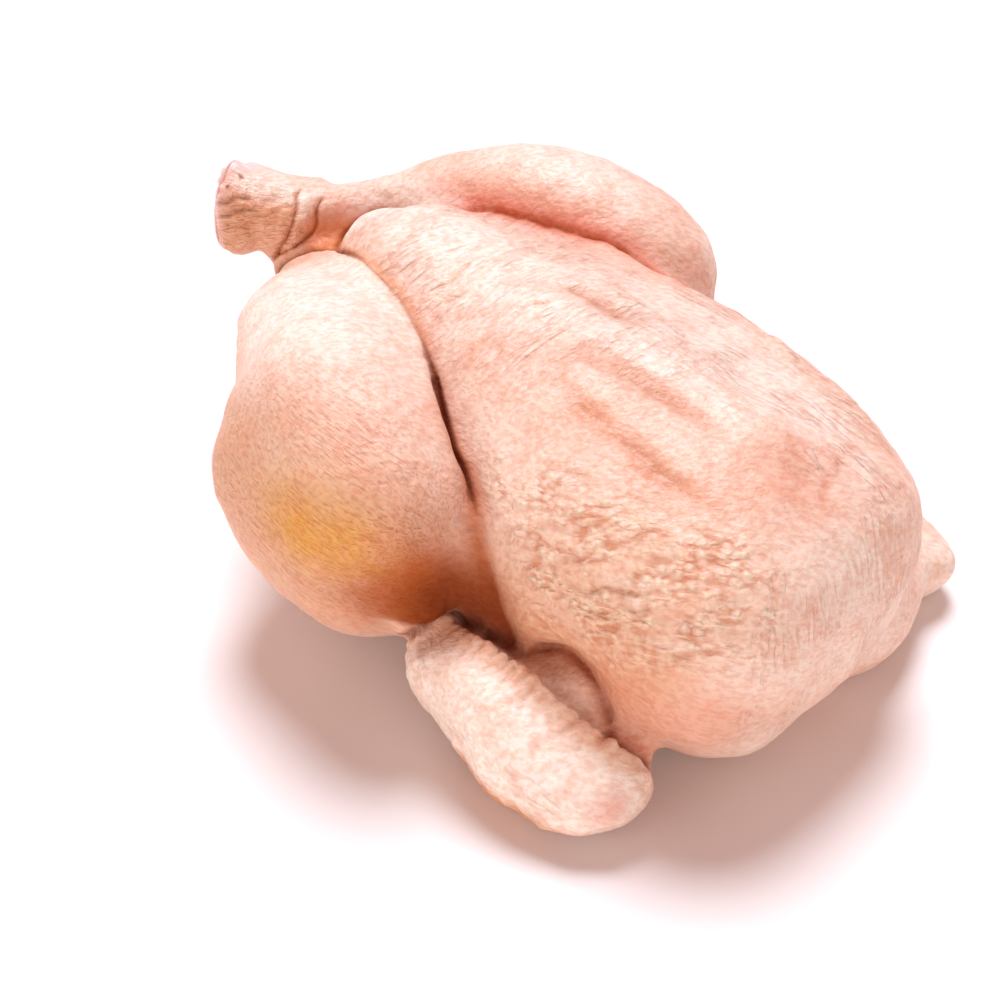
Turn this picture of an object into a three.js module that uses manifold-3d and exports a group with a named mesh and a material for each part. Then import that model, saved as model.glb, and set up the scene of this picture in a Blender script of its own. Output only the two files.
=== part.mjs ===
// A whole raw chicken, plucked and drawn, lying on its back with the breast up.
// The right hock is pulled through a roll of belly skin, and the left one is tucked in below it.
// The bird is one piece of meat under one skin, so it is one solid.
// Millimetres. +X runs from the tail to the neck, +Y to the bird's right side, +Z up.
// The origin is on the table, under the middle of the bird's box.
import * as THREE from "three";
import { LoftGeometry } from "three/addons/geometries/LoftGeometry.js";
import { mergeVertices } from "three/addons/utils/BufferGeometryUtils.js";
import Module from "manifold-3d";

const wasm = await Module();
wasm.setup();

// Driving dimensions. Lengths are from the middle of the back, heights are from the table.
const KEEL_HEIGHT = 101; // the highest line of the breast
const BREAST_HALF = 62; // half the breast's greatest breadth
const BREAST_TIP = -100; // where the breast ends between the legs
const NECK_END = 94;
const FURROW_DEPTH = 1.6; // the soft furrows on both sides of the keel
const FURROW_WIDTH = 8;
const FURROW_OUT = 12;

const BACK_HALF = 60;
const BACK_HEIGHT = 70;

const THIGH = 36; // the fullest radius of a thigh
const CALF = 27; // the fullest radius of a drumstick
const SHANK = 8.5; // its radius above the hock
const KNOB = 14; // the radius of the hock joint
const DRUMETTE = 18; // the radius of the upper wing at the shoulder
const FLAT = 15; // half the width of the wing's flat part

// Where the joints lie. The bird is limp, so its two sides differ a little.
const RIGHT_LEG = {
  hip: [-91, 44, 44],
  thighEnd: [-12, 59, 46],
  knee: [-18, 67, 54],
  ankle: [-126, 18, 73],
  hock: [-157, -2, 70],
};
const LEFT_LEG = {
  hip: [-90, -44, 50],
  thighEnd: [-2, -59, 46],
  knee: [-4, -70, 50],
  ankle: [-110, 6, 58],
};
const RIGHT_WING = { shoulder: [56, 42, 26], elbow: [-4, 61, 23], wrist: [81, 58, 9], bow: [0, 6, 0] };
const LEFT_WING = { shoulder: [56, -42, 26], elbow: [-12, -68, 23], wrist: [72, -66, 13], bow: [0, -10, 2] };

// A closed geometry as a solid that can be joined and cut.
function solidOf(geometry) {
  const bare = new THREE.BufferGeometry();
  bare.setAttribute("position", geometry.getAttribute("position"));
  bare.setIndex(geometry.getIndex());
  const merged = mergeVertices(bare, 1e-3);
  return new wasm.Manifold(
    new wasm.Mesh({
      numProp: 3,
      vertProperties: merged.attributes.position.array,
      triVerts: new Uint32Array(merged.index.array),
    }),
  );
}

function geometryOf(solid) {
  const { numProp, numVert, vertProperties, triVerts } = solid.getMesh();
  const positions = new Float32Array(numVert * 3);
  for (let i = 0; i < numVert; i++) {
    positions.set(vertProperties.subarray(i * numProp, i * numProp + 3), i * 3);
  }
  const geometry = new THREE.BufferGeometry();
  geometry.setAttribute("position", new THREE.BufferAttribute(positions, 3));
  geometry.setIndex(new THREE.BufferAttribute(triVerts, 1));
  return geometry;
}

// A smooth curve through rows of numbers, read column by column.
function smooth(rows) {
  const columns = rows[0].map((_, column) => {
    const points = rows.map((row) => new THREE.Vector3(row[column], 0, 0));
    return new THREE.CatmullRomCurve3(points, false, "catmullrom", 0.5);
  });
  return (t) => columns.map((curve) => curve.getPoint(t).x);
}

// How full a mass is at t, where it rounds off over the shares start and end.
function fullness(t, start, end) {
  const toEnd = Math.min(t / start, (1 - t) / end, 1);
  return Math.sqrt(1 - (1 - toEnd) ** 2);
}

// A power that keeps the sign, which makes an oval's sides fuller than an ellipse's.
function fuller(value, square) {
  return Math.sign(value) * Math.abs(value) ** (2 / square);
}

// A round-ended mass of flesh lofted along its stations.
// Each station is x, y, z, half width, height above and depth below.
function mass({ stations, sides, rings, start, end, square = 2, relief = () => {} }) {
  const at = smooth(stations);
  const place = (t) => new THREE.Vector3(...at(THREE.MathUtils.clamp(t, 0, 1)).slice(0, 3));
  const sections = [];
  for (let ring = 1; ring < rings; ring++) {
    const t = (1 - Math.cos((Math.PI * ring) / rings)) / 2;
    const [, , , width, above, below] = at(t);
    const along = place(t + 1e-3).sub(place(t - 1e-3)).normalize();
    const wide = new THREE.Vector3(0, 1, 0);
    wide.addScaledVector(along, -along.y).normalize();
    const high = along.clone().cross(wide);
    const full = fullness(t, start, end);
    const section = [];
    for (let side = 0; side < sides; side++) {
      const angle = (2 * Math.PI * side) / sides;
      const out = fuller(Math.cos(angle), square) * width * full;
      const up = fuller(Math.sin(angle), square) * (angle < Math.PI ? above : below) * full;
      const point = place(t).addScaledVector(wide, out).addScaledVector(high, up);
      relief(point);
      section.push(point);
    }
    sections.push(section);
  }
  return solidOf(new LoftGeometry(sections, { capStart: true, capEnd: true }));
}

// A limb from one joint to the next, bowed to one side.
// Each row of its girth is a share of the way, half width, height above and depth below.
function limb({ from, to, bow, girth, ...shape }) {
  const stations = girth.map(([share, ...sizes]) => {
    const point = new THREE.Vector3(...from).lerp(new THREE.Vector3(...to), share);
    point.addScaledVector(new THREE.Vector3(...bow), Math.sin(Math.PI * Math.min(share, 1)));
    return [...point, ...sizes];
  });
  return mass({ stations, ...shape });
}

// A smooth rounded lump, given by its middle and its half sizes.
function lump(middle, half, wide = 18, high = 12) {
  const ball = new THREE.SphereGeometry(1, wide, high);
  ball.rotateX(Math.PI / 2);
  ball.scale(...half);
  ball.translate(...middle);
  return solidOf(ball);
}

// The breast: a soft ridge over the keel bone with a shallow furrow on each side of it,
// and a hollow at the wishbone.
function breast() {
  const furrowFrom = -70;
  const furrowTo = 66;
  const fade = 30;
  const wishbone = new THREE.Vector3(72, 2, 87);
  const hollowDepth = 3;
  const hollowRadius = 12;
  const { smoothstep } = THREE.MathUtils;
  const relief = (point) => {
    const begin = smoothstep(point.x, furrowFrom, furrowFrom + fade);
    const finish = 1 - smoothstep(point.x, furrowTo - fade, furrowTo);
    const across = Math.exp(-(((Math.abs(point.y) - FURROW_OUT) / FURROW_WIDTH) ** 2));
    const upperSide = smoothstep(point.z, 0.6 * KEEL_HEIGHT, 0.8 * KEEL_HEIGHT);
    point.z -= FURROW_DEPTH * begin * finish * across * upperSide;
    point.z -= hollowDepth * Math.exp(-point.distanceToSquared(wishbone) / hollowRadius ** 2);
  };
  // Each row is x, y, z, half width, how far the ridge lies under its highest, and depth below.
  const rows = [
    [BREAST_TIP, 5, 88, 12, 5, 7],
    [-80, 6, 79, 27, 2, 20],
    [-50, 7, 62, 46, 0, 44],
    [-15, 4, 52, 57, 0.5, 50],
    [20, -1, 47, BREAST_HALF, 4, 50],
    [50, -4, 43, BREAST_HALF - 3, 9, 46],
    [74, -4, 38, BREAST_HALF - 10, 22, 42],
    [NECK_END, -3, 33, BREAST_HALF - 18, 40, 32],
  ];
  return mass({
    stations: rows.map(([x, y, z, half, fall, below]) => [x, y, z, half, KEEL_HEIGHT - fall - z, below]),
    sides: 52,
    rings: 38,
    start: 0.12,
    end: 0.17,
    square: 2.3,
    relief,
  });
}

// The back and the pelvis, which lie on the table.
function back() {
  return mass({
    stations: [
      [-122, 0, 42, 20, 20, 22],
      [-96, 0, 42, 38, 28, 40],
      [-50, 0, 38, 54, BACK_HEIGHT - 38, 42],
      [0, 0, 36, BACK_HALF, BACK_HEIGHT - 36, 42],
      [40, 0, 36, BACK_HALF - 2, BACK_HEIGHT - 36, 40],
    ],
    sides: 30,
    rings: 16,
    start: 0.25,
    end: 0.3,
    square: 2.3,
  });
}

// The two shoulders, which bulge at the neck end. The neck skin is drawn in between them.
function shoulders() {
  return lump([61, 29, 17], [29, 34, 22]).add(lump([60, -25, 24], [28, 27, 24]));
}

// The fleshy tail, which tapers and ends in a rounded tip.
function tail() {
  return mass({
    stations: [
      [-95, 0, 28, 26, 14, 14],
      [-115, 0, 25, 18, 11, 11],
      [-131, 0, 22, 8, 6, 6],
    ],
    sides: 16,
    rings: 8,
    start: 0.3,
    end: 0.3,
  });
}

// The belly skin that closes the vent, from the breast's tip to the shanks.
function belly() {
  return lump([-112, 6, 54], [20, 20, 18]);
}

function thigh({ hip, thighEnd }) {
  const outwards = 5 * Math.sign(hip[1]);
  return limb({
    from: hip,
    to: thighEnd,
    bow: [0, outwards, 0],
    girth: [
      [0, 27, 33, 26],
      [0.3, THIGH - 1, THIGH + 6, THIGH + 3],
      [0.7, THIGH - 3, THIGH + 4, THIGH + 3],
      [1, 23, 26, 30],
    ],
    sides: 22,
    rings: 16,
    start: 0.4,
    end: 0.4,
  });
}

// Skin that bridges the gap between a thigh and the flank.
function web(side) {
  return lump([2, 50 * side, 46], [32, 13, 22]);
}

// The right drumstick lies along the breast, and its hock stands out past the tail.
function rightDrumstick({ knee, ankle, hock }) {
  const drumstick = limb({
    from: knee,
    to: ankle,
    bow: [0, 9, 13],
    girth: [
      [0, CALF - 7, CALF - 7, CALF - 5],
      [0.2, CALF - 1, CALF, CALF],
      [0.44, CALF - 1, CALF + 1, CALF],
      [0.67, CALF - 9, CALF - 7, CALF - 8],
      [0.85, SHANK + 2.5, SHANK + 3.5, SHANK + 3.5],
      [1, SHANK, SHANK, SHANK],
    ],
    sides: 24,
    rings: 24,
    start: 0.2,
    end: 0.05,
  });
  const joint = limb({
    from: ankle,
    to: hock,
    bow: [0, 0, 1],
    girth: [
      [-0.3, SHANK - 2, SHANK - 2, SHANK - 2],
      [0, SHANK, SHANK, SHANK],
      [0.35, KNOB - 2, KNOB - 2, KNOB - 1],
      [0.65, KNOB - 1, KNOB, KNOB + 1],
      [1, KNOB - 1, KNOB, KNOB + 1],
    ],
    sides: 20,
    rings: 14,
    start: 0.1,
    end: 0.1,
  });
  return drumstick.add(joint);
}

// The roll of belly skin round the right shank.
function cuff() {
  const roll = new THREE.TorusGeometry(SHANK + 2.5, 4, 8, 18);
  const axis = new THREE.Vector3(0, 0, 1);
  const facing = new THREE.Vector3(-0.94, -0.27, 0.2).normalize();
  roll.applyQuaternion(new THREE.Quaternion().setFromUnitVectors(axis, facing));
  roll.translate(-135, 12, 70);
  return solidOf(roll);
}

// The left drumstick lies lower, and its hock is tucked in under the right one.
function leftDrumstick({ knee, ankle }) {
  return limb({
    from: knee,
    to: ankle,
    bow: [-2, -18, 16],
    girth: [
      [0, CALF - 5, CALF - 3, CALF - 3],
      [0.24, CALF + 1, CALF + 4, CALF + 1],
      [0.5, CALF + 2, CALF + 4, CALF],
      [0.75, CALF + 1, CALF + 1, CALF - 5],
      [0.92, SHANK + 14, SHANK + 13, SHANK + 8],
      [1.06, SHANK + 3, SHANK + 3, SHANK + 3],
      [1.2, KNOB - 3, KNOB - 3, KNOB - 3],
    ],
    sides: 24,
    rings: 26,
    start: 0.14,
    end: 0.08,
  });
}

// The hollow between the flank and the upper wing, which lies in it.
function armpit(side) {
  return lump([38, 66 * side, 33], [17, 13, 13]);
}

// The wing without its tip. The flat part lies along the body over the folded elbow,
// and the drumette goes back up to the shoulder below it.
function wing({ shoulder, elbow, wrist, bow }) {
  const flat = limb({
    from: elbow,
    to: wrist,
    bow,
    girth: [
      [0, FLAT - 6, 12, 12],
      [0.2, FLAT - 2, 15, 15],
      [0.45, FLAT, 17, 18],
      [0.7, FLAT, 12, 17],
      [0.88, FLAT - 2, 10, 13],
      [1, FLAT - 5, 9, 9],
    ],
    sides: 20,
    rings: 16,
    start: 0.16,
    end: 0.12,
  });
  const [x, y, z] = elbow;
  const drumette = limb({
    from: shoulder,
    to: [x + 2, y, z - 9],
    bow: [0, 2 * Math.sign(y), 0],
    girth: [
      [0, DRUMETTE, DRUMETTE, DRUMETTE],
      [0.35, DRUMETTE - 2, DRUMETTE - 2, DRUMETTE - 2],
      [0.7, DRUMETTE - 6, DRUMETTE - 6, DRUMETTE - 6],
      [1, DRUMETTE - 7, DRUMETTE - 7, DRUMETTE - 7],
    ],
    sides: 14,
    rings: 10,
    start: 0.2,
    end: 0.2,
  });
  return flat.add(drumette);
}

const body = [
  breast(),
  back(),
  shoulders(),
  tail(),
  belly(),
  thigh(RIGHT_LEG),
  thigh(LEFT_LEG),
  web(1),
  web(-1),
  rightDrumstick(RIGHT_LEG),
  cuff(),
  leftDrumstick(LEFT_LEG),
].reduce((joined, piece) => joined.add(piece));
const hollowed = body.subtract(armpit(1)).subtract(armpit(-1));
const underTable = solidOf(new THREE.BoxGeometry(600, 600, 200).translate(0, 0, -100));
const bird = hollowed.add(wing(RIGHT_WING)).add(wing(LEFT_WING)).subtract(underTable);

const skin = new THREE.MeshStandardMaterial({ color: 0xf0bfa6, roughness: 0.45, metalness: 0 });
const chicken = new THREE.Mesh(geometryOf(bird), skin);
chicken.name = "chicken";
chicken.geometry.computeBoundingBox();
const middle = chicken.geometry.boundingBox.getCenter(new THREE.Vector3());
chicken.position.set(-middle.x, -middle.y, 0);

const group = new THREE.Group();
group.add(chicken);
export default group;
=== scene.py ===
import math

import bmesh
import bpy
import numpy as np
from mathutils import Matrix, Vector, kdtree, noise
from mathutils.bvhtree import BVHTree


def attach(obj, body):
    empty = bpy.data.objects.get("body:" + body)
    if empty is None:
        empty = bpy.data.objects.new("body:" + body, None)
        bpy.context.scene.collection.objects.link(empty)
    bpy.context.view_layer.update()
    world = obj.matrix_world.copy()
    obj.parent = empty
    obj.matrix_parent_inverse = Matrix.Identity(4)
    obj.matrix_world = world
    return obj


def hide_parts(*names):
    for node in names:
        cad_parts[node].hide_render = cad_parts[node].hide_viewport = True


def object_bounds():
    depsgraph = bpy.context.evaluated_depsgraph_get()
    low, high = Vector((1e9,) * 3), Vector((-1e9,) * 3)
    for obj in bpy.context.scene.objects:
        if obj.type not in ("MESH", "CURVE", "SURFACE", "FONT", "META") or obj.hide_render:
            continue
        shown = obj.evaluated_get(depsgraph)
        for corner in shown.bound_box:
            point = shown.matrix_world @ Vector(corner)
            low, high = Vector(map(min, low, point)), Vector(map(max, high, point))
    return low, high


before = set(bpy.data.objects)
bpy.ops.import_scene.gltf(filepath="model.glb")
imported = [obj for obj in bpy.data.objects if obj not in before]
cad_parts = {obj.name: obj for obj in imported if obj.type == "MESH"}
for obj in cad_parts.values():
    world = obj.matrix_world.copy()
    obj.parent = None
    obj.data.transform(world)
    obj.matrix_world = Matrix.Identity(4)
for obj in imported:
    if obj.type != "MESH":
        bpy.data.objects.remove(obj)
cad_low, cad_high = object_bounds()

# The bird is one piece of meat and bone under one skin, plucked, drawn and laid on its back.
# Its form comes from the CAD solid, remeshed finely. The seams where a limb meets the body stay
# sharp where the skin folds in, and are drawn smooth where skin spans them like a web.
MM = 0.001
COARSE = 2.64  # mm, edge length of the first mesh, which is halved for the skin
SEAM_ANGLE = math.radians(24)  # a hollow edge sharper than this is a seam between two masses

bpy.ops.object.select_all(action="DESELECT")
bird = bpy.data.objects.new("whole_chicken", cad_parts["chicken"].data.copy())
bpy.context.scene.collection.objects.link(bird)
bird.select_set(True)
bpy.context.view_layer.objects.active = bird
bird.data.materials.clear()
bpy.ops.object.mode_set(mode="EDIT")
bpy.ops.mesh.select_all(action="SELECT")
bpy.ops.mesh.remove_doubles(threshold=0.01 * MM)
bpy.ops.object.mode_set(mode="OBJECT")


def finish_with(kind, **settings):
    """Adds a modifier to the bird with these settings and applies it."""
    modifier = bird.modifiers.new(kind.title(), kind)
    for name, value in settings.items():
        setattr(modifier, name, value)
    bpy.ops.object.modifier_apply(modifier=modifier.name)


def smooth(weights, rounds):
    """Smooths the bird in so many rounds, as much at each vertex as its weight says."""
    group = bird.vertex_groups.new(name="weights")
    for i, weight in enumerate(weights.tolist()):
        if weight > 0.01:
            group.add([i], weight, "REPLACE")
    finish_with("SMOOTH", factor=0.5, iterations=rounds, vertex_group="weights")
    bird.vertex_groups.clear()


def seam_points():
    """Points every millimetre along the hollow edges of the solid, in mm."""
    solid = bmesh.new()
    solid.from_mesh(bird.data)
    points = []
    for edge in solid.edges:
        if edge.calc_face_angle_signed(0) < -SEAM_ANGLE:
            start, end = (vertex.co / MM for vertex in edge.verts)
            steps = max(1, round((end - start).length))
            points += [start.lerp(end, i / steps) for i in range(steps + 1)]
    solid.free()
    return points


def tree_of(points):
    """A tree that finds the nearest of these points."""
    tree = kdtree.KDTree(len(points))
    for i, point in enumerate(points):
        tree.insert(point, i)
    tree.balance()
    return tree


def read_skin():
    """The bird's vertices in mm, and their normals."""
    count = len(bird.data.vertices) * 3
    places, normals = np.empty(count), np.empty(count)
    bird.data.vertices.foreach_get("co", places)
    bird.data.vertices.foreach_get("normal", normals)
    return places.reshape(-1, 3) / MM, normals.reshape(-1, 3)


def ease(value, start, end):
    """0 before start and 1 after end, with a smooth turn between them."""
    t = np.clip((value - start) / (end - start), 0, 1)
    return t * t * (3 - 2 * t)


def patch(middle, size, edge=0.5):
    """1 within an oval patch of the skin and 0 past it, over an edge that is a share of it."""
    return 1 - ease(np.linalg.norm((skin - middle) / size, axis=1), 1 - edge / 2, 1 + edge / 2)


seams = tree_of(seam_points())
finish_with("REMESH", mode="VOXEL", voxel_size=COARSE * MM, use_smooth_shade=True)
skin, normals = read_skin()
seam_distance = np.array([seams.find(place)[2] for place in skin.tolist()])

# How much of a web the skin is, where it spans a seam.
webs = np.maximum.reduce([
    patch((-20, -86, 58), (62, 26, 30)),  # the near leg's outer side
    patch((-20, 84, 56), (62, 26, 30)),  # the far leg's outer side
    patch((36, 58, 60), (16, 16, 16)),  # the far flank
    patch((37, -60, 57), (15, 13, 13)),  # the near flank
    patch((-95, 4, 45), (34, 34, 22)),  # the belly
    patch((-75, 0, 20), (34, 40, 24)),  # the tail
    0.35 * patch((104, -30, 44), (34, 30, 22)),  # the near shoulder
    0.35 * patch((112, 30, 44), (24, 34, 26)),  # the far shoulder
])
above_table = ease(skin[:, 2], 0.3, 3)
hock_and_shank = np.maximum(patch((-110, 0, 72), (26, 26, 24)), patch((-92, 14, 74), (20, 16, 16)))
facets = above_table * np.maximum(0.4 + 0.6 * ease(seam_distance, -2, 4), webs)
smooth(facets * (1 - 0.7 * hock_and_shank), 14)
smooth(above_table * webs, 60)
finish_with("SUBSURF", levels=1, render_levels=1)
bpy.ops.object.shade_smooth()
skin, normals = read_skin()


def select_skin(chosen):
    """Selects these vertices, in edit mode."""
    bpy.ops.object.mode_set(mode="EDIT")
    bpy.ops.mesh.select_all(action="DESELECT")
    bpy.ops.mesh.select_mode(type="VERT")
    bpy.ops.object.mode_set(mode="OBJECT")
    bird.data.vertices.foreach_set("select", chosen)
    bpy.ops.object.mode_set(mode="EDIT")
    bpy.ops.mesh.select_mode(type="VERT")


# The skin that lies on the table, or faces it from close by, is plain and needs fewer faces.
select_skin((skin[:, 2] < 5) | ((normals[:, 2] < -0.6) & (skin[:, 2] < 30)))
bpy.ops.mesh.decimate(ratio=0.2)
bpy.ops.object.mode_set(mode="OBJECT")
skin, normals = read_skin()


# Folds: where the legs and wings press against the body, the skin turns in along a crease, with
# a shallow valley on the body's side of it and a full lip of skin on the limb's side.
# Each crease is a line through a few marks in mm, laid on the skin.
THIGH_TOP_CREASE = [
    (-99, -8, 52), (-95, -4, 60), (-90, 0, 67), (-84, 2, 71), (-76, 1, 75), (-67, -4, 80),
    (-55, -10, 87), (-44, -15, 90),
]
LEFT_LEG_CREASE = [
    (-67, -4, 80), (-55, -10, 87), (-44, -15, 90), (-30, -19, 89), (-18, -25, 86), (-3, -35, 84),
    (9, -44, 83), (20, -51, 80), (27, -54, 73), (34, -57, 66),
]
RIGHT_LEG_CREASE = [
    (-72, 1, 78), (-80, 6, 73), (-82, 13, 74), (-74, 15, 82), (-64, 14, 88), (-50, 23, 92),
    (-40, 31, 91), (-30, 36, 89), (-17, 40, 89), (-5, 44, 87), (12, 46, 87), (26, 46, 86),
    (38, 47, 84), (50, 50, 76),
]
FLANK_CREASE = [(32, -57, 68), (38, -60, 60), (42, -62, 51), (45, -63, 42), (52, -63, 35)]
LEFT_WING_CREASE = [
    (20, -56, 20), (36, -60, 34), (44, -61, 32), (57, -63, 32), (71, -66, 31), (80, -66, 29),
    (88, -65, 26), (100, -61, 19), (104, -56, 10),
]
WING_RIDGE = [
    (22, -64, 27), (32, -69, 35), (42, -71, 38), (52, -72, 38), (62, -72, 36), (75, -72, 33),
    (88, -71, 29), (100, -68, 25), (106, -66, 18),
]
ELBOW_CREASE = [(30, -63, 35), (26, -66, 35), (24, -70, 33), (21, -72, 27), (19, -76, 22)]
ARMPIT_EDGE = [
    (56, -61, 34), (60, -60, 37), (66, -58, 39), (73, -58, 38), (79, -59, 35), (84, -60, 30),
    (86, -61, 26),
]

# Wrinkles that cross the breast from the leg, and gathers where the wing pulls at its skin.
WRINKLES = [
    [(-24, -14, 91), (-23, -10, 93), (-21, -6, 94), (-21, -1, 95), (-21, 5, 95)],
    [(4, -29, 91), (4, -25, 93), (5, -21, 95), (6, -17, 96)],
    [(6, -9, 97), (7, -4, 98), (10, -1, 99), (12, 3, 99)],
    [(-20, -16, 91), (-18, -13, 92), (-16, -9, 93), (-14, -5, 94)],
    [(-43, -6, 95), (-43, -2, 96), (-43, 2, 97)],
]
GATHERS = [
    [(92, -58, 60), (96, -58, 58), (103, -55, 59), (108, -52, 61), (114, -46, 62)],
    [(75, -58, 67), (80, -57, 70), (88, -54, 71), (93, -50, 74)],
    [(72, -61, 60), (79, -60, 63), (90, -56, 67), (94, -53, 69)],
    [(59, -60, 67), (63, -58, 70), (67, -56, 72), (72, -55, 74)],
]


def trace(marks):
    """Points half a millimetre apart on a smooth line through the marks, laid on the skin."""
    marks = np.array([marks[0], *marks, marks[-1]], float)
    line = []
    for before, start, end, after in zip(marks, marks[1:], marks[2:], marks[3:]):
        for t in np.arange(0, 1, 0.5 / np.linalg.norm(end - start)):
            bend = (2 * before - 5 * start + 4 * end - after) + (3 * start - before - 3 * end + after) * t
            line.append(start + t * (end - before + t * bend) / 2)
    return np.array([skin_surface.find_nearest(Vector(point) * MM)[0] for point in line]) / MM


def beside(marks, reach):
    """Each vertex's distance in mm from a line through the marks, up to reach, and its share along it."""
    line = trace(marks)
    tree = tree_of(line.tolist())
    distance, share = np.full(len(skin), float(reach)), np.zeros(len(skin))
    close = np.flatnonzero(((skin > line.min(0) - reach) & (skin < line.max(0) + reach)).all(axis=1))
    found = [tree.find(place) for place in skin[close].tolist()]
    distance[close] = np.minimum([nearest[2] for nearest in found], reach)
    share[close] = np.array([nearest[1] for nearest in found]) / len(line)
    return distance, share


def run(marks, width, start=0.15, end=0.15):
    """1 on a line through the marks, fading over width mm beside it and over a share at each end."""
    distance, share = beside(marks, 3 * width)
    return np.exp(-((distance / width) ** 2)) * ease(share, 0, start) * (1 - ease(share, 1 - end, 1))


def shift(marks, move):
    """The marks, moved by so many mm."""
    return [tuple(np.add(mark, move)) for mark in marks]


def move_skin(places):
    """Moves the bird's vertices to these places in mm."""
    bird.data.vertices.foreach_set("co", (places * MM).ravel())
    bird.data.update()


def press(heights):
    """Moves the bird's surface outwards by these heights in mm."""
    places, normals = read_skin()
    move_skin(places + normals * heights[:, None])


def pull(direction, amount):
    """Moves the bird's surface by a vector in mm, times an amount at each vertex."""
    move_skin(read_skin()[0] + np.outer(amount, direction))


def split(chosen):
    """Halves the edges between these vertices."""
    select_skin(chosen)
    bpy.ops.mesh.subdivide(number_cuts=1)
    bpy.ops.object.mode_set(mode="OBJECT")


# The mesh is made finer along the creases, so that they come out narrow and clean, and finer
# again along those of the near leg.
skin_surface = BVHTree.FromObject(bird, bpy.context.evaluated_depsgraph_get())
tight = np.zeros(len(skin), bool)
for marks in (THIGH_TOP_CREASE, LEFT_LEG_CREASE, RIGHT_LEG_CREASE, FLANK_CREASE, LEFT_WING_CREASE,
              ELBOW_CREASE, ARMPIT_EDGE):
    tight |= beside(marks, 5)[0] < 3.2
for marks in WRINKLES + GATHERS:
    tight |= beside(marks, 3)[0] < 1.8
tight |= (patch((-110, 4, 76), (24, 20, 18), 0) > 0.5) | (beside(WING_RIDGE, 8)[0] < 6)
split(tight)
skin, normals = read_skin()
split((beside(LEFT_LEG_CREASE, 4)[0] < 1.6) | (beside(THIGH_TOP_CREASE, 4)[0] < 1.6))
skin, normals = read_skin()
skin_surface = BVHTree.FromObject(bird, bpy.context.evaluated_depsgraph_get())

# From here on skin holds where each vertex lies on the smooth bird, to say where a feature goes.
# The flesh is firmer in some places and slack in others: these swell or sink by a few millimetres.
for middle, size, move in (
    ((116, 28, 60), (14, 20, 24), (3.2, 0, 0)),  # the neck end's far side
    ((-47, -72, 62), (15, 12, 17), (-2.4, -2.0, 0)),  # the near leg's outer side
    ((-57, -56, 81), (12, 12, 10), (1.0, 0.9, -0.5)),  # the near leg's upper side
    ((14, 72, 72), (13, 13, 15), (1.9, 1.2, 0)),  # the far thigh
    ((70, 28, 90), (48, 16, 13), (0, -2.0, -4.0)),  # the far side of the breast
    ((-2, 30, 93), (38, 12, 9), (0, -0.6, -1.4)),  # the breast beside the far leg
    ((-72, -27, 76), (17, 15, 15), (-3.2, -2.8, 0)),  # the near leg's end
    ((-99, -6, 60), (10, 10, 9), (-3.0, -2.6, 0)),  # the skin below the hock
    ((-63, 3, 88), (12, 11, 10), (-3.6, -1.0, 0)),  # the tip of the breast
    ((-108, 9, 86), (13, 11, 8), (0, 0, -2.4)),  # the top of the hock
    ((-121, 3, 86), (4, 4, 5), (-0.5, 0, 1.6)),  # the upper rim of the cut
    ((108, 68, 16), (11, 12, 12), (2.2, 0.8, 0)),  # the far wing
    ((-117, -7, 63), (10, 9, 7), (-0.4, -1.6, -3.2)),  # the hock's lower corner
    ((94, -86, 9), (13, 12, 11), (-0.4, -2.6, 0)),  # the near wing's tip
    ((76, -88, 9), (32, 9, 11), (0, -1.2, -3.6)),  # the near wing's lower edge
    ((46, -88, 14), (14, 12, 16), (2.6, 2.2, 0)),  # the near wing below its elbow
    ((30, -68, 34), (12, 10, 9), (0.6, -0.6, -2.8)),  # the near wing's elbow
):
    pull(move, patch(middle, size, 1.2))
smooth(run(shift(LEFT_LEG_CREASE, (1, 2.7, 0)), 1.9, start=0.01, end=0.4), 30)
smooth(run(shift(RIGHT_LEG_CREASE, (0, 4, -1)), 3.5, start=0.2, end=0.1), 30)

# Where the skin turns in, and the lips of the near leg. The folds are pressed in by a few
# millimetres, and the lips are drawn out.
thigh_folds = run(THIGH_TOP_CREASE, 1.2, start=0.2, end=0.6)
leg_folds = run(LEFT_LEG_CREASE[4:], 0.9, start=0.5, end=0.12)
leg_edge = run(shift(LEFT_LEG_CREASE, (0.2, 0.5, 0)), 0.6, start=0.02, end=0.3)
leg_lips = np.maximum(
    run(shift(THIGH_TOP_CREASE, (-1, -3.6, 0)), 2.8, end=0.01),
    run(shift(LEFT_LEG_CREASE, (-1, -3.4, 0)), 2.8, start=0.01),
)
far_folds = run(shift(RIGHT_LEG_CREASE, (0, 1, -0.4)), 0.9, start=0.25, end=0.1)
flank_folds = run(FLANK_CREASE, 2.6, start=0.85, end=0.05)
wing_folds = run(LEFT_WING_CREASE, 1.7, start=0.05) * (1 - 0.9 * ease(skin[:, 0], 50, 60))
elbow_fold = run(ELBOW_CREASE, 1.1, end=0.1)
armpit = run(ARMPIT_EDGE, 1.6)
press(-2.4 * thigh_folds - 1.8 * leg_folds - 0.3 * leg_edge - 1.5 * far_folds)
press(-2.5 * flank_folds - 1.8 * wing_folds - 2.2 * elbow_fold - 1.6 * armpit)
pull((0.4, 0.8, 0.8), leg_lips)
smooth(np.clip(2 * (thigh_folds + leg_folds + far_folds + flank_folds), 0, 1), 3)
smooth(patch((38, -61, 34), (20, 9, 12), 0.8), 30)  # the hollow behind the near wing's elbow

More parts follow.
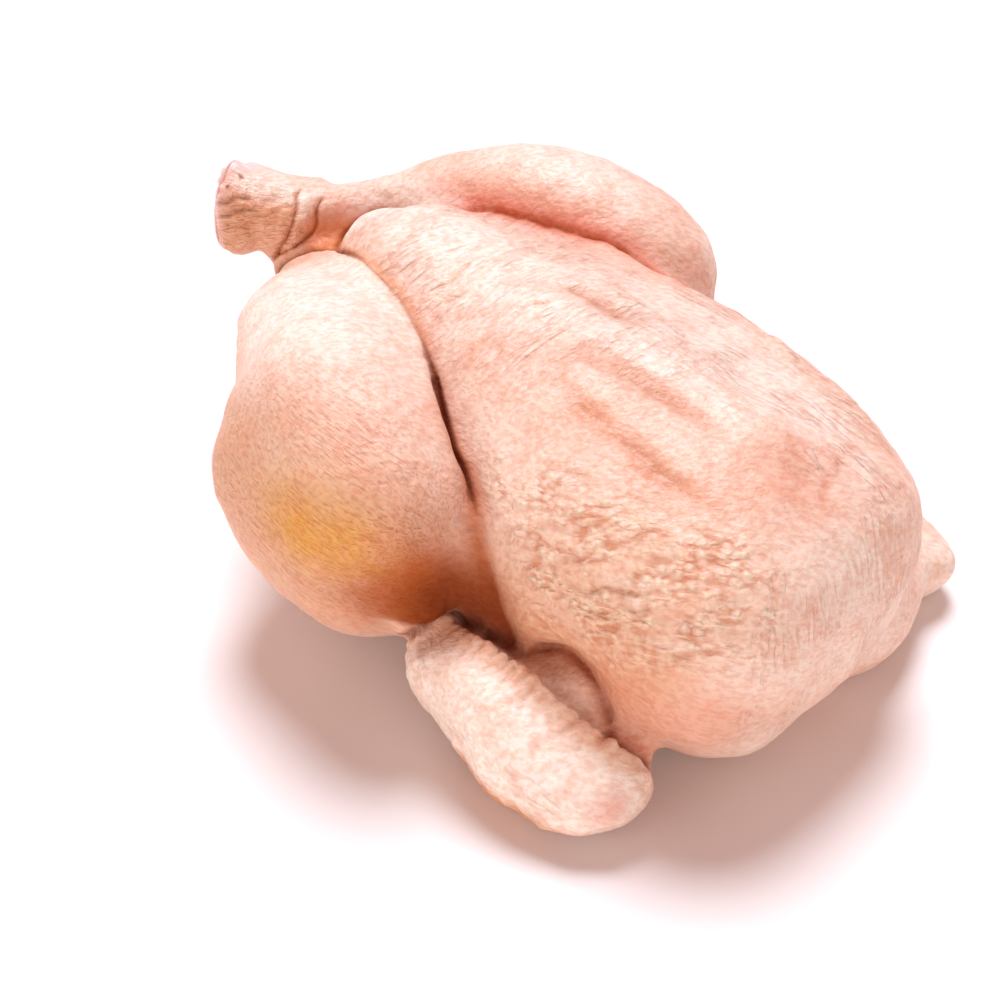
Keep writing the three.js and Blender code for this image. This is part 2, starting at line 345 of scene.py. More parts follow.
# The hock: the right shank is sawn off square at the joint. Its skin has slid back from the cut
# into a cuff, between two folds, and the shank above the cuff is thin.
CUT_X = -120  # mm, where the saw went through the near side of the shank, at CUT_Y
CUT_Y = -8
CUT_SLANT = -0.26  # how far the cut runs out along the bird for each mm across it
HOCK_MIDDLE = (6, 73)  # mm, y and z of the shank's middle at the cut
HOCK_SIZE = (15.2, 13.6)  # mm, from its middle to its sides there
CUFF_OUTER_FOLD = [(-100, 12, 85), (-99, 8, 84), (-96, 5, 81), (-95, 2, 76), (-96, -1, 69), (-97, -2, 64)]
CUFF_INNER_FOLD = [(-93, 14, 82), (-92, 10, 79), (-91, 8, 74), (-94, 6, 68), (-96, 3, 63)]
THIN_SHANK = [(-90, 13, 79), (-84, 17, 81), (-76, 22, 84), (-64, 27, 89), (-52, 32, 92), (-39, 36, 94)]


def lumps(size, direction=(1, 0, 0), stretch=1, seed=0):
    """Soft noise from -1 to 1, its lumps size mm across and stretch times as long one way."""
    along = np.array(Vector(direction).normalized())
    at = (skin - np.outer(skin @ along, along) * (1 - 1 / stretch)) / size + 17.3 * seed
    return 1.6 * np.array([noise.noise(place) for place in at.tolist()])


# The rim of the cut is drawn outwards, and its face is laid flat where the saw went through.
shank = ease(skin[:, 0], -110, -115) * (skin[:, 2] > 52)
from_middle = skin[:, 1:] - HOCK_MIDDLE
share_out = np.linalg.norm(from_middle / HOCK_SIZE, axis=1)
face = shank * ease(share_out, 0.98, 0.8)
spread = shank * (np.clip(share_out / 0.84, 0, 1) / np.maximum(share_out, 0.05) - 1)
spread *= ease(skin[:, 0], -113, -119) * ease(from_middle[:, 0], 5, -3)
places = read_skin()[0]
places[:, 1:] += from_middle * np.clip(spread, 0, 0.3)[:, None]
places[:, 0] += (CUT_X + CUT_SLANT * (places[:, 1] - CUT_Y) - places[:, 0]) * face
move_skin(places)

cuff_folds = run(CUFF_OUTER_FOLD, 0.75, start=0.1, end=0.1)
cuff_folds += run(CUFF_INNER_FOLD, 0.8, start=0.1, end=0.05)
cuff_roll = run(shift(CUFF_OUTER_FOLD, (2.6, 1, -1)), 2.4)
hock_side = patch((-108, -2, 74), (17, 16, 16), 0.6) * (1 - face)
creased = lumps(2.2, (0.8, 0.1, 0.3), 3.5, seed=41) * hock_side
drawn_skin = run([(-119, -7, 78), (-116, -7, 80), (-112, -5, 83), (-108, -3, 84)], 0.7)
drawn_skin += run([(-118, -8, 74), (-114, -8, 76), (-109, -6, 79), (-104, -4, 80)], 0.6)
rough_cut = face * lumps(4, seed=42)
press(0.8 * cuff_roll - 1.5 * cuff_folds - 0.6 * drawn_skin + 0.5 * creased + 0.2 * rough_cut)

# The wing: its upper edge is a thin ridge of skin, puckered into scallops where the flight
# feathers grew. Its tip is folded under, with a crease where it meets the body.
SCALLOP = 4.4  # mm from one scallop to the next
WRIST_CREASE = [(85, -63, 26), (91, -65, 26), (97, -64, 24), (101, -60, 20), (104, -56, 14)]
wing_top = 36 + 7 * ease(skin[:, 0], 24, 38)  # mm above the table, lower at the elbow
wing_side = -skin[:, 1] + 4 * ease(skin[:, 0], 34, 24)  # mm out from the middle, 4 more at the elbow
near_wing = ease(wing_side, 62, 67) * ease(skin[:, 2] - wing_top, 1, -2) * ease(skin[:, 0], 12, 22)
off_wing = 1 - near_wing
ridge_distance, ridge_share = beside(WING_RIDGE, 16)
along_ridge = ridge_share * len(trace(WING_RIDGE)) / 2
scallops = np.sqrt(np.abs(np.sin(np.pi * (along_ridge + 1.4 * lumps(8, seed=31)) / SCALLOP)))
scallop_edge = np.exp(-((ridge_distance / 6) ** 2))
scallop_edge *= ease(ridge_share, 0, 0.1) * (1 - ease(ridge_share, 0.9, 1))
pull((0, 2.6, 1.7), run(WING_RIDGE, 2.6, start=0.05, end=0.1))
puckers = scallop_edge * (scallops - 0.65) * (1 + 0.9 * lumps(7, seed=33))
puckers *= ease(skin[:, 0], 104, 88) * ease(wing_side, 61, 66)
wrist_fold = run(WRIST_CREASE, 1.8)
press(puckers - 1.4 * wrist_fold + 0.55 * lumps(3.2, (0.3, 1, 0), 2.5, seed=32) * near_wing)

# The breast: soft furrows run beside the keel bone, the hollow of the wishbone gathers the skin,
# and the skin of both sides is pimpled in rows where the feathers grew.
KEEL = [(-60, 2, 92), (0, 2, 100), (50, 1, 98), (88, 3, 92)]
KEEL_FURROW_LEFT = [
    (18, -10, 97), (28, -10, 97), (37, -10, 97), (50, -9, 96), (62, -8, 95), (72, -9, 94),
    (84, -10, 92),
]
KEEL_FURROW_RIGHT = [(4, 7, 98), (16, 10, 98), (31, 9, 98), (40, 10, 97)]
LOWER_FURROW = [
    (26, -24, 96), (37, -25, 95), (46, -27, 94), (61, -29, 93), (75, -31, 90), (90, -30, 88),
    (100, -26, 86),
]
WISHBONE_CREASES = [
    [(90, 5, 91), (95, 3, 88), (99, 1, 86), (103, -1, 84), (107, -5, 80)],
    [(94, -4, 89), (99, -3, 86), (104, -5, 83)],
    [(97, 11, 87), (102, 7, 85), (106, 2, 82), (109, -2, 79)],
    [(101, 24, 82), (103, 16, 84), (105, 9, 83)],
]
FEATHER_ROWS = (0.88, 0.42, 0.05)  # the way in which the rows of pimples run
furrows = 1.4 * run(KEEL_FURROW_LEFT, 3.4, 0.35, 0.35) + run(KEEL_FURROW_RIGHT, 3.2, 0.35, 0.35)
furrows += 1.5 * run(LOWER_FURROW, 3.6, 0.35, 0.35)
furrows *= 1 + 0.5 * lumps(3.5, (1, 0, 0), 2.5, seed=4)
wishbone = sum(run(marks, 1.6) for marks in WISHBONE_CREASES)
uneven = 0.7 * lumps(34, seed=1) + 0.4 * lumps(14, seed=2)
wrinkles = sum(run(marks, 0.7, start=0.3, end=0.3) for marks in WRINKLES)
gathers = sum(run(marks, 1.1, start=0.3, end=0.3) for marks in GATHERS)
gathered = sum(run(shift(marks, (0, -0.4, 2.4)), 1.5, start=0.3, end=0.3) for marks in GATHERS)
press((uneven - furrows - 0.6 * wishbone) * ease(skin[:, 2], 0.5, 5))
press(0.6 * gathered - 0.6 * gathers - 0.7 * wrinkles)

# Past a straight line along the near leg's crease the skin is the breast's.
on_breast = ease(skin[:, 1] + 29 + 0.52 * (skin[:, 0] + 18), 0, 3)
pimpled = np.maximum.reduce([
    patch((72, -54, 72), (42, 18, 26), 0.8),
    patch((102, -42, 70), (20, 18, 18), 0.8),
    0.5 * patch((70, 52, 70), (46, 18, 26), 0.8),
])
pimpled *= on_breast * (1 - patch((34, -66, 50), (20, 14, 24), 0.8))
fine = 0.45 * pimpled * lumps(3.2, FEATHER_ROWS, 2.2, seed=11)
fine += 0.35 * lumps(3, (0, 1, 0.1), 4, seed=6) * patch((-20, 0, 94), (70, 40, 24), 0.8)
fine += 0.22 * lumps(5, seed=7) * ease(skin[:, 2], 0.5, 3)
fine += 0.35 * lumps(2.6, seed=8) * run(THIN_SHANK, 6, start=0.05, end=0.2)
press(fine)

# The skin stays within the box of the solid that it covers.
MARGIN = 0.05  # mm
low_limit, high_limit = (np.array(corner) / MM for corner in (cad_low, cad_high))
move_skin(np.clip(read_skin()[0], low_limit + [MARGIN, MARGIN, 0], high_limit - MARGIN))

# Skin colour, painted on the mesh: cream where fat lies under the skin, salmon where the skin is thin
# over meat, and yellow where the thigh's fat shows. Light and shade are painted into it as well: red-brown
# painted shade deep in the creases and hollows, warm painted shade on skin turned from the lamps, and
# cream painted light and highlights on tops and on skin that the lamps leave dim.


def linear(code):
    """A hex colour such as "#f0dccb" as linear values."""
    parts = np.array([int(code[i:i + 2], 16) for i in (1, 3, 5)]) / 255
    return np.where(parts <= 0.04045, parts / 12.92, ((parts + 0.055) / 1.055) ** 2.4)


PALE_PINK = linear("#eacab6")
CREAM = linear("#f2e8db")
WHITE_CREAM = linear("#faf3e9")
SALMON = linear("#dd9f83")
TAN = linear("#daa77c")
FAT_YELLOW = linear("#dca03a")
BROWN_TAN = linear("#b56331")
CREASE_BROWN = linear("#8a4626")
DEEP_SHADE_BROWN = linear("#521a10")
ORANGE = linear("#e09158")
OLIVE_SHADE = linear("#b98456")
DUSKY_PINK = linear("#b8836b")
RED_PINK = linear("#d8705c")
RUST_SHADE = linear("#c1633c")
RAW_PINK = linear("#f4dcdc")
BONE = linear("#efe2d2")
tone = np.tile(PALE_PINK, (len(skin), 1))


def paint(colour, amount):
    """Blends a colour into the skin by an amount from 0 to 1 at each vertex."""
    tone[:] += (colour - tone) * np.clip(amount, 0, 1)[:, None]


def daub(colour, amount, middle, size, edge=1.0, where=1.0):
    """Paints an oval patch of the skin, as strongly at each vertex as where says."""
    paint(colour, amount * patch(middle, size, edge) * where)


# The breast, the legs and the near wing as a whole.
blotches = lumps(13, seed=21)
paint(SALMON, 0.15 + 0.3 * blotches)
daub(CREAM, 0.95, (-42, 3, 98), (50, 30, 18))
paint(CREAM, 0.7 * run(KEEL, 16))
daub(CREAM, 0.8, (60, 24, 92), (60, 24, 16))
# The near thigh: tan low down and cream on top, whiter still where the lamp falls on it; partly its skin,
# partly painted shade and painted highlight.
daub(TAN, 0.7, (-5, -86, 58), (60, 24, 30), 0.9)
daub(CREAM, 0.95, (-48, -40, 90), (42, 28, 18))
daub(WHITE_CREAM, 0.5, (-55, -40, 90), (28, 20, 14), 1.3)
# Painted highlights pale the top of the breast and the top of the far leg.
daub(WHITE_CREAM, 0.4, (38, -1, 98), (28, 8, 8), 1.3)
daub(WHITE_CREAM, 0.35, (-14, 54, 98), (34, 14, 10), 1.3)
daub(CREAM, 1.0, (72, -86, 24), (50, 20, 20), where=near_wing)
daub(CREAM, 0.7, (-35, 56, 102), (46, 18, 12))

# Along the thin shank meat shows through. Beside the creases of both legs the salmon, orange and red-pink
# are partly thin skin over meat and partly painted shade, and rust painted shade lies close along the
# near leg's crease.
paint(SALMON, 0.4 * run(shift(LEFT_LEG_CREASE, (3, 5, 0)), 5))
paint(ORANGE, 0.55 * run(shift(LEFT_LEG_CREASE, (0.8, 2, 0)), 1.8, start=0.1, end=0.2))
paint(RUST_SHADE, 0.55 * run(shift(LEFT_LEG_CREASE[3:], (0.8, 1.8, 0)), 1.8, start=0.3, end=0.1))
paint(SALMON, 0.7 * run(shift(RIGHT_LEG_CREASE, (0, 8, -1)), 8))
on_shank = run(THIN_SHANK, 4.5, start=0.05, end=0.5)
paint(RED_PINK, 0.6 * on_shank * (1 + 0.5 * lumps(4, seed=26)))
below_far_leg = run(shift(RIGHT_LEG_CREASE, (0, 4, -1)), 4, start=0.35, end=0.05)
paint(RED_PINK, 0.65 * below_far_leg * (1 + 0.3 * lumps(5, seed=22)))

# Paler and darker patches, from the tail to the neck.
# Painted highlight on the far drumstick beside the hock.
daub(CREAM, 0.8, (-72, 20, 88), (26, 14, 10))
daub(CREAM, 0.7, (116, 62, 14), (16, 22, 16))
# Painted shade, warm tan, on the near flank under the breast.
daub(TAN, 0.9, (72, -62, 54), (40, 12, 18))
# Brown where the near thigh meets the flank: partly thin skin over dark meat, partly painted shade.
daub(BROWN_TAN, 1.0, (25, -75, 49), (23, 17, 20), 1.1, off_wing)
# Painted light: cream pales the neck end, which the lamps leave dim.
daub(CREAM, 0.45, (118, -20, 56), (24, 34, 36))
daub(CREAM, 0.35, (5, -40, 86), (34, 16, 14), 1.2)
# Painted light pales the near thigh's outer side.
daub(CREAM, 0.35, (-6, -90, 74), (22, 12, 14), 1.2)
daub(FAT_YELLOW, 0.95, (2, -90, 66), (21, 15, 13), 1.5, 1 + 0.2 * blotches)
daub(CREAM, 0.35, (4, 62, 88), (34, 14, 16), 1.2)
# Painted light: cream pales the neck end's front.
daub(CREAM, 0.45, (112, 0, 76), (17, 26, 20), 1.3)
# Painted light: cream pales the near shoulder low down.
daub(CREAM, 0.6, (113, -41, 18), (15, 18, 13), 1.4)
daub(CREAM, 0.6, (105, 13, 83), (10, 10, 9), 1.4)
# Painted light: cream pales the near wing's wrist.
daub(CREAM, 0.9, (98, -74, 23), (11, 9, 10), 1.2, near_wing)
# Painted shade, rust, on the near flank beside the hollow.
daub(RUST_SHADE, 0.25, (66, -62, 48), (42, 12, 20), 1.3, off_wing)
daub(CREAM, 0.4, (60, -50, 72), (50, 22, 26))
daub(TAN, 0.3, (84, -51, 74), (28, 15, 14), 1.4)
daub(CREAM, 0.45, (104, 12, 83), (7, 8, 7), 1.4)
# Painted light: cream pales the neck end on both sides.
daub(CREAM, 0.5, (121, -7, 68), (9, 11, 11), 1.4)
daub(CREAM, 0.5, (121, 17, 24), (9, 16, 18), 1.4)
daub(SALMON, 0.45, (103, -2, 84), (16, 18, 13), 1.4, 1 + 0.5 * lumps(3, (0, 1, 0.4), 2, seed=24))
daub(SALMON, 0.5, (92, -56, 26), (26, 16, 20), where=off_wing)
daub(SALMON, 0.4, (112, -44, 34), (12, 16, 12), 1.2)

# The belly between the legs, and the hock: its side, its cuff, and the pink face of the cut
# around the bone.
# The belly: orange, partly its flesh and partly painted shade, with a rust middle and a brown crease
# beside the far leg as painted shade.
daub(ORANGE, 0.8, (-88, 8, 70), (14, 12, 12), 0.8, ease(skin[:, 1], 0, 4) * ease(skin[:, 2], 79, 73))
daub(RUST_SHADE, 0.35, (-86, 8, 70), (10, 8, 7), where=1 + 0.4 * lumps(2.5, (1, 0.2, 0.1), 4, seed=23))
paint(CREASE_BROWN, 0.8 * run(shift(RIGHT_LEG_CREASE[:5], (-0.5, 0.3, -0.4)), 1.0, start=0.02))
# The hock's side, orange and tan low down and olive at its left, is painted shade.
paint(ORANGE, 0.35 * hock_side * ease(skin[:, 2], 86, 80))
paint(TAN, 0.4 * hock_side * ease(skin[:, 2], 85, 79))
daub(OLIVE_SHADE, 0.3, (-111, -8, 75), (8, 8, 7))
paint(CREAM, 0.9 * patch((-108, 6, 88), (16, 10, 7), 1.0) + 0.8 * cuff_roll)
# Orange low on the cuff's roll is painted shade.
paint(ORANGE, 0.6 * cuff_roll * ease(skin[:, 2], 82, 72))
paint(RAW_PINK, 0.9 * face + 0.7 * shank * ease(skin[:, 0], -114, -121))
paint(BONE, ease(share_out, 0.5, 0.3) * face)
daub(CREASE_BROWN, 1.0, (-116.5, 1.3, 86.5), (1.1, 0.8, 1.5))
daub(CREASE_BROWN, 1.0, (-117.5, -4, 84), (0.8, 0.7, 1.5))
# Painted shade darkens the cuff's folds, the hollows of the creased skin and the lines of drawn skin.
paint(BROWN_TAN, 0.75 * cuff_folds + 0.2 * np.clip(-creased, 0, 1))
paint(CREASE_BROWN, 0.5 * drawn_skin)

# The breast's furrows, its wrinkles and its gathers: salmon where the skin is thin over meat, tan, dusky
# pink and brown in their bottoms as painted shade, and cream on the crests of the gathers as a painted
# highlight.
paint(TAN, np.clip(0.4 * furrows, 0, 0.5))
paint(SALMON, np.clip(0.45 * furrows, 0, 0.5))
paint(DUSKY_PINK, np.clip(0.16 * furrows * (1 + 0.8 * lumps(3, (0.6, 1, 0), 2, seed=27)), 0, 0.3))
paint(SALMON, 0.35 * wishbone)
paint(TAN, 0.6 * wrinkles)
paint(BROWN_TAN, 0.3 * gathers)
paint(CREAM, 0.5 * gathered)

# The hollow between the near leg, the wing and the body is darkened as painted shade. On the drumette in
# it, the top under the breast's edge is painted shade, and cream low down is painted light.
seam_to_wing = shift(LEFT_LEG_CREASE[4:] + FLANK_CREASE[1:], (-0.5, 0.6, 0))
paint(BROWN_TAN, 0.8 * run(seam_to_wing, 4.5, start=0.5, end=0.1))
daub(CREASE_BROWN, 0.95, (33, -66, 41), (20, 14, 16), 1.1, off_wing)
daub(DEEP_SHADE_BROWN, 0.3, (40, -61, 33), (19, 9, 12), where=off_wing)
daub(BROWN_TAN, 0.25, (74, -59, 34), (13, 8, 8), where=off_wing)
daub(CREAM, 0.5, (73, -65, 30), (9, 7, 7), 1.2)
daub(CREASE_BROWN, 0.4, (66, -60, 36), (7, 5, 5), 1.2, off_wing)

# The near wing: pale on its side, tan along its ridge and its lower edge, pink at its tip.
# Painted light: cream lifts the elbow, which lies in the near leg's shadow.
daub(CREAM, 1.0, (30, -72, 28), (14, 12, 11), 1.4, near_wing * ease(skin[:, 0], 20, 28))
daub(WHITE_CREAM, 0.7, (74, -88, 22), (40, 14, 14), 1.2, near_wing)
# Painted shade, warm orange, along the top of the elbow.
daub(ORANGE, 0.3, (30, -68, 34), (16, 9, 8), 1.4, near_wing)
# Painted shadow of the breast's edge, across the drumette below it.
paint(CREASE_BROWN, 0.8 * run(shift(ARMPIT_EDGE, (-0.6, 0, -1.2)), 1.8, start=0.05, end=0.05))
paint(TAN, 0.55 * run(shift(WING_RIDGE, (0, -1.5, -0.5)), 2.6) * near_wing)
ridge_spots = near_wing * np.clip(lumps(3, seed=25), 0, 1)
paint(BROWN_TAN, 0.5 * run(shift(WING_RIDGE, (0, -1, -1)), 2.2) * ridge_spots)
daub(TAN, 0.9, (62, -90, 6), (46, 9, 8), 0.9)
daub(ORANGE, 0.45, (58, -90, 6), (44, 9, 8), 0.9)
daub(RED_PINK, 0.35, (101, -79, 18), (5, 5, 5), 1.2)
daub(RED_PINK, 0.4, (94, -87, 6), (5, 6, 5), 1.2)
# Painted shade in the folds at the wing's root, elbow and wrist.
paint(DEEP_SHADE_BROWN, 0.6 * wing_folds)
paint(CREASE_BROWN, 0.7 * elbow_fold + 0.8 * wrist_fold)

# Painted shade in the bottoms of the creases goes on last.
paint(BROWN_TAN, 0.4 * leg_edge)
paint(CREASE_BROWN, 0.9 * run(shift(LEFT_LEG_CREASE[3:], (0.2, 0.7, 0)), 0.9, start=0.5, end=0.3))
paint(RUST_SHADE, 0.3 * run(shift(RIGHT_LEG_CREASE, (0, 2.4, -0.6)), 2.4, start=0.3, end=0.05))
paint(DEEP_SHADE_BROWN, 0.95 * run(shift(LEFT_LEG_CREASE[4:], (0.2, 0.7, 0)), 1.2, start=0.45, end=0.3))
paint(CREASE_BROWN, 0.9 * run(shift(THIGH_TOP_CREASE, (0.2, 0.9, 0)), 0.8, end=0.4))
paint(RUST_SHADE, 0.6 * far_folds)
paint(CREASE_BROWN, 0.8 * flank_folds)

# How moist, lined or pimpled the skin is from place to place. In the creases and in the hollow
# behind the near wing's elbow it is matt and even, and no stubble shows.
matt = np.maximum.reduce([
    patch((34, -64, 44), (26, 16, 22), 1.0) * off_wing,
    run(shift(LEFT_LEG_CREASE, (0.2, 0.7, 0)), 2, start=0.01, end=0.01),
    run(THIGH_TOP_CREASE, 2.5, start=0.01),
    run(shift(RIGHT_LEG_CREASE, (0, 1, -0.4)), 2.5, start=0.01),
    run(LEFT_WING_CREASE, 4, start=0.01),
    run(ELBOW_CREASE, 3, end=0.01),
    cuff_folds,
    0.6 * run(THIN_SHANK, 7, start=0.05, end=0.2),
    0.6 * patch((30, -68, 36), (18, 9, 8), 1.0),
])
lined_across = patch((-20, 0, 94), (80, 40, 24), 0.8) * on_breast
lined_along = np.maximum(
    patch((70, 30, 84), (70, 30, 22), 0.8),
    0.5 * patch((66, -92, 14), (44, 14, 12), 0.8),
)
masks = {
    "moist": 0.35 * (1 - ease(matt, 0, 0.8)),
    "spotty": 0.3 * (1 - ease(matt, 0, 0.5)),
    "pimpled": pimpled,
    "stubbly": 0.7 * patch((-5, -80, 66), (58, 34, 36), 0.8) * (1 - np.clip(matt, 0, 1)) * off_wing,
    "lined_across": 0.7 * lined_across,
    "finely_lined": 0.45 * lined_across,
    "lined_along": lined_along,
    "lined_upright": 0.6 * patch((124, -5, 50), (16, 60, 36), 0.8),
    "hock_lined": 0.55 * hock_side,
}
for name, values in masks.items():
    bird.data.attributes.new(name, "FLOAT", "POINT").data.foreach_set("value", values)
colours = np.hstack([tone, np.ones((len(tone), 1))])
bird.data.attributes.new("tone", "FLOAT_COLOR", "POINT").data.foreach_set("color", colours.ravel())

# Raw skin: plucked, washed and moist, so it has a soft shine, and thin, so light goes a little
# way into it. It is mottled, crinkled and lined, with stubble on the legs. Sizes are in mm, and
# the stubble and the finest wrinkles are drawn coarser than they are, so that they show.
SMOOTHSTEP = {"interpolation_type": "SMOOTHSTEP"}
material = bpy.data.materials.new("raw_skin")
material.use_nodes = True
nodes = material.node_tree.nodes
links = material.node_tree.links
skin_shader = nodes["Principled BSDF"]


def add(kind, inputs, output=0, **settings):
    """Adds a node with these settings, links or sets its inputs, and gives one of its outputs."""
    new = nodes.new("ShaderNode" + kind)
    for name, value in settings.items():
        setattr(new, name, value)
    for name, value in inputs.items():
        if isinstance(value, bpy.types.NodeSocket):
            links.new(value, new.inputs[name])
        else:
            new.inputs[name].default_value = value
    return new.outputs[output]


place = add("TexCoord", {}, "Object")


def laid(length, width, direction):
    """Places on the bird, counted in steps of length by width, along a direction and across it."""
    turn = Vector(direction).to_track_quat("X", "Z").to_euler()
    scale = (length * MM, width * MM, width * MM)
    return add("Mapping", {"Vector": place, "Rotation": turn, "Scale": scale}, vector_type="TEXTURE")


def grain(length, width, direction, detail=1.0, distortion=0.0):
    """Noise whose lumps are length by width, lying along a direction."""
    at = laid(length, width, direction)
    return add("TexNoise", {"Vector": at, "Scale": 1.0, "Detail": detail, "Distortion": distortion}, "Fac")


def lines(length, width, direction, thickness, distortion=0.0):
    """Thin lines, 1 on a line and 0 between, that enclose gaps of length by width."""
    off = add("Math", {0: grain(length, width, direction, 1.0, distortion), 1: 0.5}, operation="SUBTRACT")
    gap = add("Math", {0: off}, operation="ABSOLUTE")
    return add("MapRange", {0: gap, 1: 0.0, 2: thickness, 3: 1.0, 4: 0.0}, **SMOOTHSTEP)


# A Map Range node's inputs are a value, the ends it runs between, and what to give at each end.
here_and_there = add("MapRange", {0: grain(18, 18, (1, 0, 0)), 1: 0.42, 2: 0.58}, **SMOOTHSTEP)
elsewhere = add("MapRange", {0: grain(11, 11, (0, 1, 0)), 1: 0.45, 2: 0.6}, **SMOOTHSTEP)
stubble = add("MapRange", {0: grain(5, 0.8, (0.98, 0.03, -0.19), 2.0), 1: 0.42, 2: 0.74}, **SMOOTHSTEP)
all_lines = 0.0
for pattern, mask, where in (
    (stubble, "stubbly", 1.0),
    (lines(26, 3.4, (0.12, 1, 0.15), 0.15), "lined_across", here_and_there),
    (lines(20, 3.2, (1, 0.1, -0.2), 0.11), "lined_along", here_and_there),
    (lines(14, 2.6, (0.3, -0.2, -0.93), 0.11), "lined_upright", here_and_there),
    (lines(12, 1.4, (0.8, 0.1, 0.3), 0.12), "hock_lined", 1.0),
    (lines(15, 2.8, (0.3, 1, 0.1), 0.08, 0.2), "finely_lined", elsewhere),
):
    strength = add("Attribute", {}, "Fac", attribute_name=mask)
    shown = add("Math", {0: strength, 1: where}, operation="MULTIPLY")
    all_lines = add("Math", {0: pattern, 1: shown, 2: all_lines}, operation="MULTIPLY_ADD")

# Goose pimples: round bumps in rows, drawn as cells, on skin that is puckered between them. The
# bumps and the crests of the skin are pale, partly their colour and partly a painted highlight, and the
# valleys are tan as painted shade.
PIMPLE = 2.5  # mm from one pimple to the next
rows = laid(1.3 * PIMPLE, PIMPLE, FEATHER_ROWS)
from_bump = add("TexVoronoi", {"Vector": rows, "Scale": 1.0, "Randomness": 0.85}, "Distance")
puckered = grain(5.2, 2.0, FEATHER_ROWS, 2.0, 0.5)
thinned = add("MapRange", {0: grain(12, 9, FEATHER_ROWS), 1: 0.36, 2: 0.6, 3: 0.35}, **SMOOTHSTEP)
pimples_here = add("Attribute", {}, "Fac", attribute_name="pimpled")
uneven_rows = add("Math", {0: thinned, 1: pimples_here}, operation="MULTIPLY")
pimple = add("MapRange", {0: from_bump, 1: 0.05, 2: 0.62, 3: uneven_rows, 4: 0.0}, **SMOOTHSTEP)
crest = add("MapRange", {0: puckered, 1: 0.5, 2: 0.7, 4: uneven_rows}, **SMOOTHSTEP)
between = add("MapRange", {0: from_bump, 1: 0.36, 2: 0.7, 4: uneven_rows}, **SMOOTHSTEP)
valley = add("MapRange", {0: puckered, 1: 0.6, 2: 0.4, 4: between}, **SMOOTHSTEP)
pale_tops = add("Math", {0: pimple, 1: 1.25, 2: crest}, operation="MULTIPLY_ADD")
pucker_relief = add("Math", {0: puckered, 1: uneven_rows}, operation="MULTIPLY")

mottle = grain(9, 9, (1, 0, 0), 3.0)
crinkle = grain(2.6, 1.5, (0.6, 0.7, -0.3), 3.0)
spotty = add("Attribute", {}, "Fac", attribute_name="spotty")
spots = add("MapRange", {0: mottle, 1: 0.45, 2: 0.7, 4: spotty}, **SMOOTHSTEP)
# Painted shade darkens the dips of the crinkles.
crinkle_shade = add("MapRange", {0: crinkle, 1: 0.36, 2: 0.6, 3: 1.0, 4: 0.0}, **SMOOTHSTEP)
skin_colour = add("Attribute", {}, "Color", attribute_name="tone")
for pattern, amount, kind, colour in (
    (spots, 1.0, "MIX", "#e3a689"),
    (crinkle_shade, 0.4, "MULTIPLY", "#ecc0a6"),
    (all_lines, 0.3, "MULTIPLY", "#c98f70"),
    (pale_tops, 0.4, "MIX", "#fae4c4"),
    (valley, 0.65, "MULTIPLY", "#dc9f68"),
):
    share = add("Math", {0: pattern, 1: amount}, operation="MULTIPLY")
    tint = (*linear(colour).tolist(), 1)
    mixed = {"Factor": share, 6: skin_colour, 7: tint}
    skin_colour = add("Mix", mixed, 2, data_type="RGBA", blend_type=kind)

relief = 0.0
for pattern, height in (
    (all_lines, -0.42),
    (crinkle, 0.6),
    (mottle, 1.2),
    (pimple, 0.75),
    (pucker_relief, 1.7),
):
    relief = add("Math", {0: pattern, 1: height, 2: relief}, operation="MULTIPLY_ADD")
links.new(skin_colour, skin_shader.inputs["Base Color"])
links.new(add("Bump", {"Height": relief, "Distance": MM, "Strength": 1.0}), skin_shader.inputs["Normal"])
links.new(add("Attribute", {}, "Fac", attribute_name="moist"), skin_shader.inputs["Specular IOR Level"])
skin_shader.inputs["Roughness"].default_value = 0.42
skin_shader.inputs["Subsurface Weight"].default_value = 0.15
skin_shader.inputs["Subsurface Radius"].default_value = (2.2 * MM, 0.9 * MM, 0.6 * MM)
skin_shader.inputs["Subsurface Scale"].default_value = 1.0
bird.data.materials.append(material)

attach(bird, "root")
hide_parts("chicken")

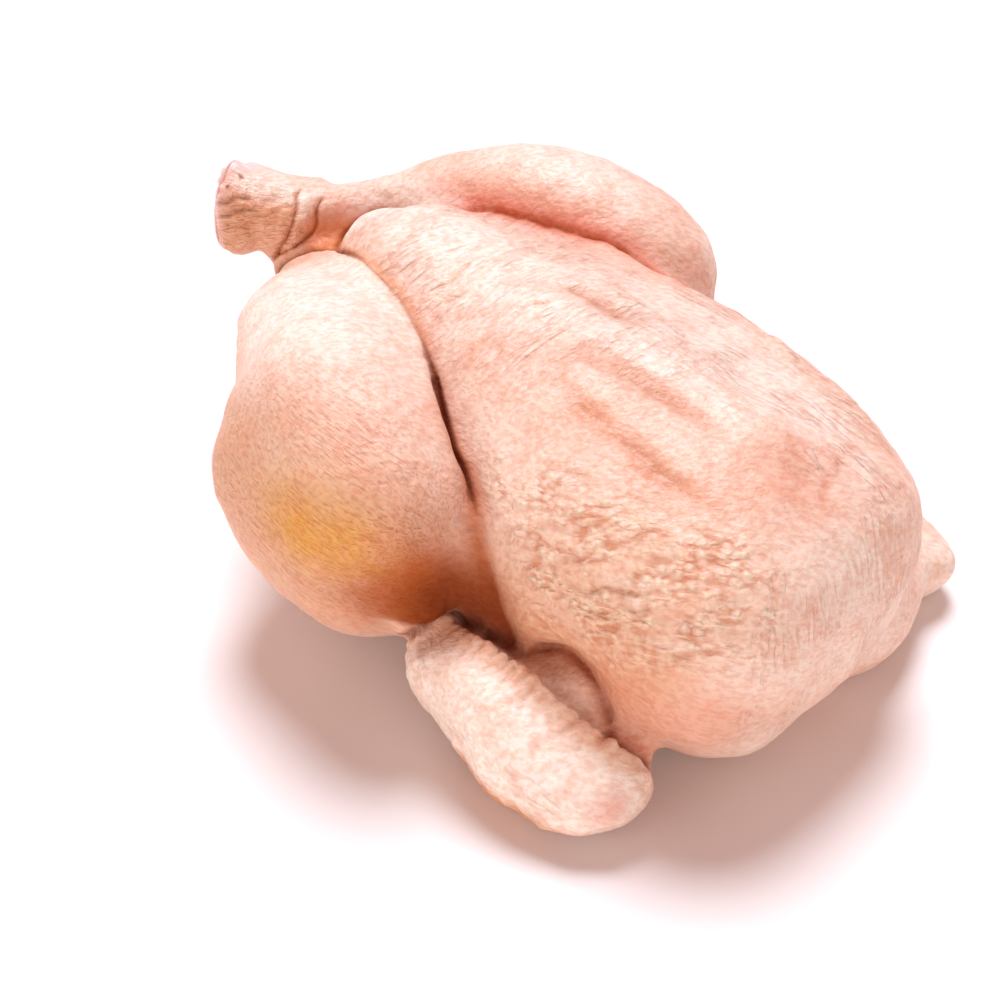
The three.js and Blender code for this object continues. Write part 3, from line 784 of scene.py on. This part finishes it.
# The table: a plain matt board, nearly white, so wide that its edges are never seen. It only
# shows the bird, and is no part of it.
FLOOR_SIZE = 24  # m
bpy.ops.object.select_all(action="DESELECT")
bpy.ops.mesh.primitive_plane_add(size=FLOOR_SIZE)
floor = bpy.context.object
floor.name = "floor"
white_board = bpy.data.materials.new("white_floor")
white_board.use_nodes = True
board_shader = white_board.node_tree.nodes["Principled BSDF"]
board_shader.inputs["Base Color"].default_value = (*linear("#f3f3f3").tolist(), 1)
board_shader.inputs["Roughness"].default_value = 0.9
floor.data.materials.append(white_board)

# Light: a cool, broad lamp high up behind the bird's tail and far side, two warm wide panels low
# down on its near side, one by the neck and one by the leg, and a pink room that fills the shadows.
COOL = (0.96, 1.0, 1.09)
WARM = (1.0, 0.93, 0.88)
ROOM_PINK = (1.0, 0.51, 0.44, 1)


def lamp(name, direction, strength, width, colour):
    """A distant lamp that shines along a direction, width degrees across."""
    light = bpy.data.lights.new(name, "SUN")
    light.energy = strength
    light.angle = math.radians(width)
    light.color = colour
    holder = bpy.data.objects.new(name, light)
    holder.rotation_euler = Vector(direction).to_track_quat("-Z", "Y").to_euler()
    bpy.context.scene.collection.objects.link(holder)


lamp("softbox", (0.36, -0.42, -1.0), 3.3, 26, COOL)
lamp("side_panel", (-0.78, 0.5, -0.1), 1.7, 60, WARM)
lamp("front_panel", (0.35, 0.9, -0.02), 1.85, 60, WARM)

world = bpy.data.worlds.new("room")
world.use_nodes = True
world.node_tree.nodes["Background"].inputs["Color"].default_value = ROOM_PINK
world.node_tree.nodes["Background"].inputs["Strength"].default_value = 0.37
bpy.context.scene.world = world
bpy.context.scene.view_settings.view_transform = "Standard"

# The camera looks down on the bird's left side from the neck end, through a long lens.
AZIMUTH = math.radians(41)
ELEVATION = math.radians(41)
DISTANCE = 708 * MM
TARGET = Vector((5, -14.6, 30)) * MM
lens = bpy.data.cameras.new("camera")
lens.lens = 85
lens.sensor_width = 36
camera = bpy.data.objects.new("camera", lens)
back = Vector((
    math.sin(AZIMUTH) * math.cos(ELEVATION),
    -math.cos(AZIMUTH) * math.cos(ELEVATION),
    math.sin(ELEVATION),
))
camera.location = TARGET + back * DISTANCE
camera.rotation_euler = (-back).to_track_quat("-Z", "Y").to_euler()
bpy.context.scene.collection.objects.link(camera)
bpy.context.scene.camera = camera
